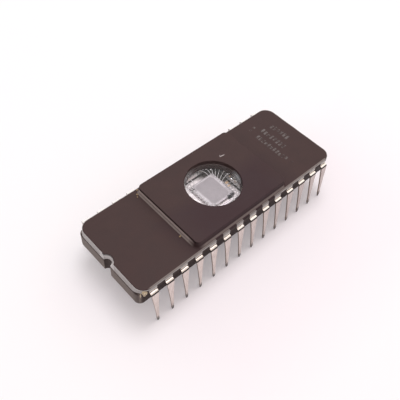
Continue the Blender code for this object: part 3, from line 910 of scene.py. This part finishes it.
def make_lid(material):
    levels = [(LID_LOW.z, 0.0)] + round_edge_levels(LID_TOP, 1, EDGE_LID)
    lid = solid("lid_body", [at_height(lid_outline(inset), z) for z, inset in levels], material)
    levels = [((LID_LOW.z + LID_TOP) / 2, -RAISED_FOOT)]
    for i in range(CORNER_STEPS + 1):
        angle = math.radians(90 * i / CORNER_STEPS)
        levels.append((LID_TOP + RAISED_FOOT * (1 - math.cos(angle)), -RAISED_FOOT * (1 - math.sin(angle))))
    levels += [(z, inset + RAISED_DRAFT) for z, inset in round_edge_levels(LID_HIGH.z, 1, EDGE_LID)]
    combine(lid, solid("raised", [at_height(raised_outline(inset), z) for z, inset in levels]), "UNION")
    seat = WINDOW_LOW.z - FIT_GAP
    lip_radius = WINDOW_RADIUS - WINDOW_LIP
    levels = [(LID_LOW.z - OVERCUT, lip_radius), (seat, lip_radius), (seat, WINDOW_RADIUS)]
    levels += [(z, WINDOW_RADIUS + inset) for z, inset in round_edge_levels(LID_HIGH.z, 1, EDGE_LID)]
    levels.append((LID_HIGH.z + OVERCUT, WINDOW_RADIUS + EDGE_LID))
    combine(lid, solid("bore", [at_height(circle_outline(radius), z) for z, radius in levels]))
    dress(lid, "lid_ceramic", "lid")


def make_window(material):
    """The glass disc, with the low ring where it was fused up the wall of the bore."""
    radius = WINDOW_RADIUS + WINDOW_FUSED
    levels = [
        (WINDOW_LOW.z, radius - WINDOW_EDGE),
        (WINDOW_LOW.z + WINDOW_EDGE, radius),
        (WINDOW_HIGH.z, radius),
        (WINDOW_HIGH.z, radius - WINDOW_EDGE),
    ]
    window = solid("window_disc", [at_height(circle_outline(size), z) for z, size in levels], material)
    dress(window, "window_glass", "window")


def wavy(outline, share, z):
    """Points of the glass fillet at one level, uneven like glass that flowed; most so at its top."""
    points = []
    for x, y in outline:
        place = Vector((x, y, 0))
        wave = noise.noise(place * SLOW_WAVES) + FAST_SHARE * noise.noise(place * FAST_WAVES)
        out = place.normalized() * FILLET_WAVE * wave * SIDEWAYS_SHARE
        points.append(Vector((x, y, z)) + out + Vector((0, 0, FILLET_WAVE * share * wave)))
    return points


def make_seal_glass(material):
    top = LID_TOP - FILLET_TOP_MARGIN
    outlines = [(base_outline(GLASS_LEDGE, GLASS_CORNER), z, 0) for z in (GLASS_LOW.z, LEAD_TOP)]
    for i in range(FILLET_STEPS + 1):
        share = i / FILLET_STEPS
        thickness = FILLET_TOP_THICKNESS + (FILLET_FOOT_THICKNESS - FILLET_TOP_THICKNESS) * (1 - share) ** 2
        outlines.append((lid_outline(-FIT_GAP - thickness), LID_LOW.z + (top - LID_LOW.z) * share, share))
    parts = []
    full = [outline for outline, z, share in outlines]
    for k in range(len(full[0])):
        gap = max(math.dist(outline[k], outline[(k + 1) % len(outline)]) for outline in full)
        parts.append(max(1, math.ceil(gap / FILLET_POINT_REACH)))
    rings = []
    for outline, z, share in outlines:
        points = []
        for k, count in enumerate(parts):
            first, second = outline[k], outline[(k + 1) % len(outline)]
            for i in range(count):
                t = i / count
                points.append((first[0] + (second[0] - first[0]) * t, first[1] + (second[1] - first[1]) * t))
        rings.append(wavy(points, share, z) if z > LEAD_TOP else at_height(points, z))
    glass = solid("glass_seal", rings, material)
    lid_floor = LID_LOW.z - FIT_GAP
    combine(glass, prism("pocket", lid_outline(-FIT_GAP), lid_floor, LID_HIGH.z))
    bare = plate_outline(CAVITY_LENGTH + 2 * BARE_MARGIN, CAVITY_WIDTH + 2 * BARE_MARGIN, BARE_CORNER)
    bare_floor = GLASS_LOW.z + GLASS_UNDER_LEADS - BARE_SINK
    combine(glass, prism("bare", bare, bare_floor, lid_floor + OVERCUT))
    combine(glass, prism("cavity", cavity_outline(), GLASS_LOW.z - OVERCUT, bare_floor + OVERCUT))
    slots = bmesh.new()
    for number, side_x, side_y, step in every_lead():
        loft(strip_rings(finger_stations(step, FIT_GAP), side_x, side_y, 0.0), slots)
    combine(glass, add_object("slots", slots))
    dress(glass, "sealing_glass", "seal_glass")


def blob(name, centre, size, material, slot):
    """An uneven drop: a ball drawn to a size and pushed in and out."""
    mesh = bmesh.new()
    bmesh.ops.create_icosphere(mesh, subdivisions=3, radius=1.0)
    for vert in mesh.verts:
        wave = noise.noise(vert.co * DROP_WAVES + Vector(centre) * DROP_SEED)
        vert.co = Vector(centre) + Vector(a * b for a, b in zip(vert.co * (1 + DROP_WAVE * wave), size))
    dress(add_object(name, mesh, material, ROUND_SHARP_ANGLE), slot)


def make_lump(material):
    """The lump of glass that ran out at the corner by lead 1, and its drip down the side."""
    for name, centre, size in GLASS_DROPS:
        blob(name, centre, size, material, "sealing_glass")


def make_residue(material):
    for number, (x, y, length, width, height) in enumerate(RESIDUE, 1):
        centre = (x, y, LID_TOP + height * RESIDUE_RAISE)
        blob(f"residue_{number}", centre, (length / 2, width / 2, height), material, "lid_ceramic")


def make_print(material):
    """Worn rows of plain bars and dots in a thin film on the plate."""
    bottom, top = LID_TOP, LID_TOP + PRINT_FILM
    number = 0
    for middle, height, first, last, pitch in PRINT_ROWS:
        for i in range(round((first - last) / pitch) + 1):
            y = first - i * pitch
            shorter = random.choice(PRINT_WORN_SHARES) * height
            end = random.choice((-1, 1)) * shorter / 2
            low = (middle - (height - shorter) / 2 + end, y - BAR_WIDTH / 2)
            high = (middle + (height - shorter) / 2 + end, y + BAR_WIDTH / 2)
            number += 1
            slab(f"print_bar_{number:02d}", low, high, bottom, top, material, "lid_ceramic")
    half = DOT_WIDTH / 2
    for number, (x, y) in enumerate(PRINT_DOTS, 1):
        low, high = (x - half, y - half), (x + half, y + half)
        slab(f"print_dot_{number}", low, high, bottom, top, material, "lid_ceramic")


# Leads

def every_lead():
    """Each lead's number, its side of the package along X and Y, and its pitches from the middle."""
    for place in range(2 * LEADS_PER_ROW):
        row, column = divmod(place, LEADS_PER_ROW)
        across = column - (LEADS_PER_ROW - 1) / 2
        side_y = -1 if row == 0 else 1
        yield f"{place + 1:02d}", math.copysign(1, across) * -side_y, side_y, abs(across)


def finger_tip(step):
    """Where a finger ends, just outside the cavity, and its direction away from the die."""
    share = (step - 0.5) / ((LEADS_PER_ROW - 1) / 2 - 0.5)
    angle = math.radians(FAN_FIRST_ANGLE + (FAN_LAST_ANGLE - FAN_FIRST_ANGLE) * share)
    direction = Vector((math.cos(angle), math.sin(angle)))
    reach_x = (CAVITY_LENGTH / 2 + FINGER_SETBACK) / direction.x
    reach_y = (CAVITY_WIDTH / 2 + FINGER_SETBACK) / direction.y
    return direction * min(reach_x, reach_y), direction


def finger_stations(step, grow=0.0):
    """Centre, half width and half thickness along a lead inside the package, from its tip out."""
    tip, direction = finger_tip(step)
    exit_x = step * LEAD_PITCH
    side = BASE_HIGH.y
    tip_end = FINGER_TIP_LENGTH + FINGER_TIP_STEP * (step - 0.5)
    plan = [
        (tip - direction * grow, FINGER_TIP_WIDTH),
        (tip + direction * tip_end, FINGER_WIDTH),
        (Vector((exit_x, side - FINGER_RUN_IN)), FINGER_RUN_IN_WIDTH),
        (Vector((exit_x, side - FINGER_RUN_IN / 3)), SHOULDER_WIDTH),
        (Vector((exit_x, side + SHOULDER_REACH)), SHOULDER_WIDTH),
    ]
    up = Vector((0, 0, LEAD_THICKNESS / 2 + grow))
    stations = []
    for i, (point, width) in enumerate(plan):
        back = (point - plan[i - 1][0]).normalized() if i else None
        ahead = (plan[i + 1][0] - point).normalized() if i + 1 < len(plan) else back
        back = back or ahead
        along = (back + ahead).normalized()
        half = (width / 2 + grow) / max(along.dot(ahead), 0.5)
        across = Vector((along.y, -along.x, 0)) * half
        stations.append((Vector((point.x, point.y, LEAD_MIDDLE)), across, up))
    return stations


def leg_stations(step):
    """Stations of a lead outside the package: the bend, the tapered leg and its blunt point."""
    exit_x = step * LEAD_PITCH
    centre = Vector((exit_x, BASE_HIGH.y + SHOULDER_REACH, LEAD_MIDDLE - BEND_RADIUS))
    stations = []
    for i in range(1, BEND_STEPS + 1):
        angle = math.radians((90 - LEG_SPLAY) * i / BEND_STEPS)
        outward = Vector((0, math.sin(angle), math.cos(angle)))
        across = Vector((SHOULDER_WIDTH / 2, 0, 0))
        stations.append((centre + outward * BEND_RADIUS, across, outward * LEAD_THICKNESS / 2))
    start = stations[-1][0]
    splay = math.radians(LEG_SPLAY)
    down = Vector((0, math.sin(splay), -math.cos(splay)))
    outward = Vector((0, math.cos(splay), math.sin(splay)))
    length = start.z / math.cos(splay)
    for i in range(1, LEG_STEPS + 1):
        share = i / LEG_STEPS
        width = LEG_END_WIDTH + (SHOULDER_WIDTH - LEG_END_WIDTH) * (1 - share) ** LEG_TAPER_POWER
        place = start + down * (length - POINT_LENGTH) * share
        stations.append((place, Vector((width / 2, 0, 0)), outward * LEAD_THICKNESS / 2))
    across = Vector((POINT_WIDTH / 2, 0, 0))
    stations.append((start + down * length, across, Vector((0, POINT_THICKNESS / 2, 0))))
    return stations


def to_side(ring, side_x, side_y):
    return [Vector((side_x * point.x, side_y * point.y, point.z)) for point in ring]


def strip_rings(stations, side_x, side_y, edge):
    """Rings with eased corners along a strip, or square ones where the edge is nought."""
    rings = []
    for centre, across, up in stations:
        a, u = across.normalized() * edge, up.normalized() * edge
        ring = []
        for sign_a, sign_u in ((1, 1), (-1, 1), (-1, -1), (1, -1)):
            corner = centre + across * sign_a + up * sign_u
            pair = [corner - u * sign_u, corner - a * sign_a]
            if sign_a != sign_u:
                pair.reverse()
            ring += pair if edge else [corner]
        rings.append(to_side(ring, side_x, side_y))
    return rings


def make_leads(material):
    for number, side_x, side_y, step in every_lead():
        stations = finger_stations(step) + leg_stations(step)
        mesh = bmesh.new()
        loft(strip_rings(stations, side_x, side_y, LEAD_EDGE), mesh)
        lead = add_object(f"lead_strip_{number}", mesh, material)
        dress(lead, "plated_lead", f"lead_{number}")


# Die and wires

def slab(name, low, high, bottom, top, material, slot, *nodes):
    """A rectangular block or film between two corners in plan."""
    corners = [(low[0], low[1]), (high[0], low[1]), (high[0], high[1]), (low[0], high[1])]
    dress(prism(name, corners, bottom, top, material), slot, *nodes)


def bond_pad(step, side_x, side_y):
    """The pads run along the X edge of the die and a little round its corner."""
    corner = Vector((DIE_LENGTH / 2 - PAD_INSET + side_x * DIE_SHIFT_X,
                     DIE_WIDTH / 2 - PAD_INSET + side_y * DIE_SHIFT_Y))
    along = (step - PADS_ROUND_CORNER - 0.5) * PAD_PITCH
    return Vector((corner.x + along, corner.y)) if along < 0 else Vector((corner.x, corner.y - along))


def make_die(circuits, aluminium):
    """The die, its array with clipped corners, and the strips and blocks round it."""
    x, y = DIE_SHIFT_X, DIE_SHIFT_Y
    half_x, half_y = DIE_LENGTH / 2, DIE_WIDTH / 2
    low, high = (x - half_x, y - half_y), (x + half_x, y + half_y)
    slab("die_body", low, high, DIE_BOTTOM, DIE_TOP, circuits["silicon"], "silicon", "die")
    floor, film = DIE_TOP, DIE_TOP + FILM
    (left, low), (right, high), clip = ARRAY_LOW, ARRAY_HIGH, ARRAY_CLIP
    plan = [(left + clip, low), (right - clip, low), (right, low + clip), (right, high - clip),
            (right - clip, high), (left + clip, high), (left, high - clip), (left, low + clip)]
    dress(prism("cell_array", plan, floor, film, circuits["cell_array"]), "silicon")
    for name, kind, near, far in DIE_BLOCKS:
        slab(name, near, far, floor, film, circuits[kind], "silicon")
    for number, side_x, side_y, step in every_lead():
        pad = bond_pad(step, side_x, side_y)
        centre = Vector((side_x * pad.x, side_y * pad.y))
        half = Vector((PAD_SIZE / 2, PAD_SIZE / 2))
        slab(f"bond_pad_{number}", centre - half, centre + half, film, film + FILM, aluminium, "silicon")


def make_wires(bright, dull):
    """One tube for each wire: up from its pad, over in a loop, and flat on the finger tip."""
    for number, side_x, side_y, step in every_lead():
        # The wires towards +X -Y take the darker copy of the metal, as painted shade
        material = dull if side_x > 0 > side_y else bright
        tip, direction = finger_tip(step)
        pad = bond_pad(step, side_x, side_y)
        start_height = DIE_TOP + 2 * FILM + WIRE_RADIUS
        end_height = TIP_TOP + WIRE_RADIUS
        peak = LID_LOW.z - WIRE_HEADROOM - WIRE_RADIUS
        landing = tip + direction * WIRE_RADIUS * 2
        run = landing - pad
        path = [(pad - run.normalized() * WIRE_FOOT / 3, start_height)]
        for i in range(WIRE_STEPS + 1):
            share = i / WIRE_STEPS
            if share < WIRE_PEAK:
                height = start_height + (peak - start_height) * math.sin(math.pi / 2 * share / WIRE_PEAK)
            else:
                fall = math.cos(math.pi / 2 * (share - WIRE_PEAK) / (1 - WIRE_PEAK))
                height = end_height + (peak - end_height) * fall
            path.append((pad + run * share, height))
        path.append((landing + run.normalized() * WIRE_FOOT, end_height))
        points = [Vector((p.x, p.y, z)) for p, z in path]
        side = Vector((run.y, -run.x, 0)).normalized()
        rings = []
        for i, point in enumerate(points):
            along = points[min(i + 1, len(points) - 1)] - points[max(i - 1, 0)]
            up = side.cross(along.normalized())
            ring = []
            for turn in range(WIRE_SIDES):
                angle = 2 * math.pi * turn / WIRE_SIDES
                ring.append(point + (side * math.cos(angle) + up * math.sin(angle)) * WIRE_RADIUS)
            rings.append(to_side(ring, side_x, side_y))
        mesh = bmesh.new()
        loft(rings, mesh)
        dress(add_object(f"bond_wire_{number}", mesh, material, ROUND_SHARP_ANGLE), "silicon")
        foot = landing + run.normalized() * WIRE_FOOT / 2
        centre = (side_x * foot.x, side_y * foot.y, TIP_TOP + WIRE_RADIUS / 2)
        blob(f"bond_foot_{number}", centre, (BOND_FOOT, BOND_FOOT, WIRE_RADIUS * 1.5), bright, "silicon")


def make_flecks(gold, glint):
    """Splashes of gold and solder on the finger tips towards +X and +Y."""
    for number, (place, size) in enumerate(GOLD_FLECKS, 1):
        blob(f"gold_fleck_{number}", (*place, TIP_TOP), size, gold, "gold_metal")
    for number, (x, y, radius) in enumerate(SOLDER_DROPS, 1):
        blob(f"solder_drop_{number}", (x, y, TIP_TOP), (radius, radius, radius / 2), glint, "plated_lead")


def make_cavity_metal(material):
    metal = prism("cavity_metal", cavity_outline(FIT_GAP), METAL_LOW.z, METAL_HIGH.z, material)
    dress(metal, "gold_metal", "die_attach")


# Stage, light and camera

def make_floor():
    look = new_look("pale_floor")
    # The floor's colour carries the painted shadow patch
    look.feed(Base_Color=look.marks((*FLOOR_COLOUR, 1.0), FLOOR_PAINTED_SHADOW), Roughness=0.7, Specular_IOR_Level=0.1)
    lift = look.spread(look.rays(*DIRECT_RAYS), 0.0, 1.0, 0.0, FLOOR_LIFT)
    glow = look.add("Emission", Color=FLOOR_GLOW, Strength=lift).outputs["Emission"]
    look.surface(look.add("AddShader", look.shader.outputs["BSDF"], glow))
    mesh = bmesh.new()
    corners = ((-1, -1), (1, -1), (1, 1), (-1, 1))
    mesh.faces.new([mesh.verts.new((x * FLOOR_HALF, y * FLOOR_HALF, 0)) for x, y in corners])
    floor = add_object("pale_floor", mesh, look.owner)


def make_world():
    """A pale room with a darker horizon and ceiling; the camera itself sees plain white."""
    world = bpy.data.worlds.new("studio")
    bpy.context.scene.world = world
    look = Look(world)
    place = look.place("Generated")
    stops = [(position, tuple(level * part for part in SKY_TINT)) for position, level in SKY_STOPS]
    sky = look.ramp(look.spread(look.part("Z", place), -1.0, 1.0), stops)
    for direction, start, full, colour in SKY_PANELS:
        near = look.along(place, Vector(direction).normalized())
        sky = look.layers(sky, [(look.spread(near, start, full), colour, 1.0)])
    background = look.tree.nodes["Background"]
    look.link(look.mix(look.rays("Camera"), sky, CAMERA_SKY), background.inputs["Color"])
    look.link(look.spread(look.rays(*DIRECT_RAYS), 0.0, 1.0, SKY_SHARE, 1.0), background.inputs["Strength"])


def add_key():
    data = bpy.data.lights.new("key", "AREA")
    data.shape = "DISK"
    data.size = KEY_SIZE
    data.energy = KEY_POWER
    data.color = KEY_COLOUR
    lamp = bpy.data.objects.new("key", data)
    lamp.location = KEY_PLACE
    lamp.rotation_mode = "QUATERNION"
    lamp.rotation_quaternion = (-Vector(KEY_PLACE)).to_track_quat("-Z", "Y")
    bpy.context.scene.collection.objects.link(lamp)


def make_camera():
    data = bpy.data.cameras.new("photo_view")
    data.sensor_width = SENSOR_WIDTH
    data.lens = CAMERA_LENS
    data.clip_start, data.clip_end = CAMERA_CLIP
    camera = bpy.data.objects.new("photo_view", data)
    azimuth, elevation, roll = (math.radians(angle) for angle in CAMERA_ANGLES)
    back = Vector((math.sin(azimuth) * math.cos(elevation), -math.cos(azimuth) * math.cos(elevation),
                   math.sin(elevation)))
    level = Vector((math.cos(azimuth), math.sin(azimuth), 0))
    right = level * math.cos(roll) + back.cross(level) * math.sin(roll)
    up = back.cross(right)
    camera.matrix_world = Matrix.Translation(CAMERA_PLACE) @ Matrix((right, up, back)).transposed().to_4x4()
    bpy.context.scene.collection.objects.link(camera)
    bpy.context.scene.camera = camera


def main():
    random.seed(PRINT_SEED)
    make_camera()
    bpy.context.scene.view_settings.view_transform = "Standard"
    make_world()
    add_key()
    make_floor()
    make_base(base_material())
    make_lid(lid_material())
    make_print(ink_material())
    make_residue(plain_material("residue"))
    make_lump(plain_material("tan_glass"))
    make_window(window_material())
    make_seal_glass(sealing_glass_material())
    make_leads(lead_material())
    make_cavity_metal(cavity_metal_material())
    aluminium = metal_material("aluminium_wire")
    make_die({name: circuit_material(name) for name in CIRCUITS}, aluminium)
    make_wires(aluminium, metal_material("dull_shaded_wire"))
    make_flecks(plain_material("gold_fleck"), metal_material("solder"))


main()
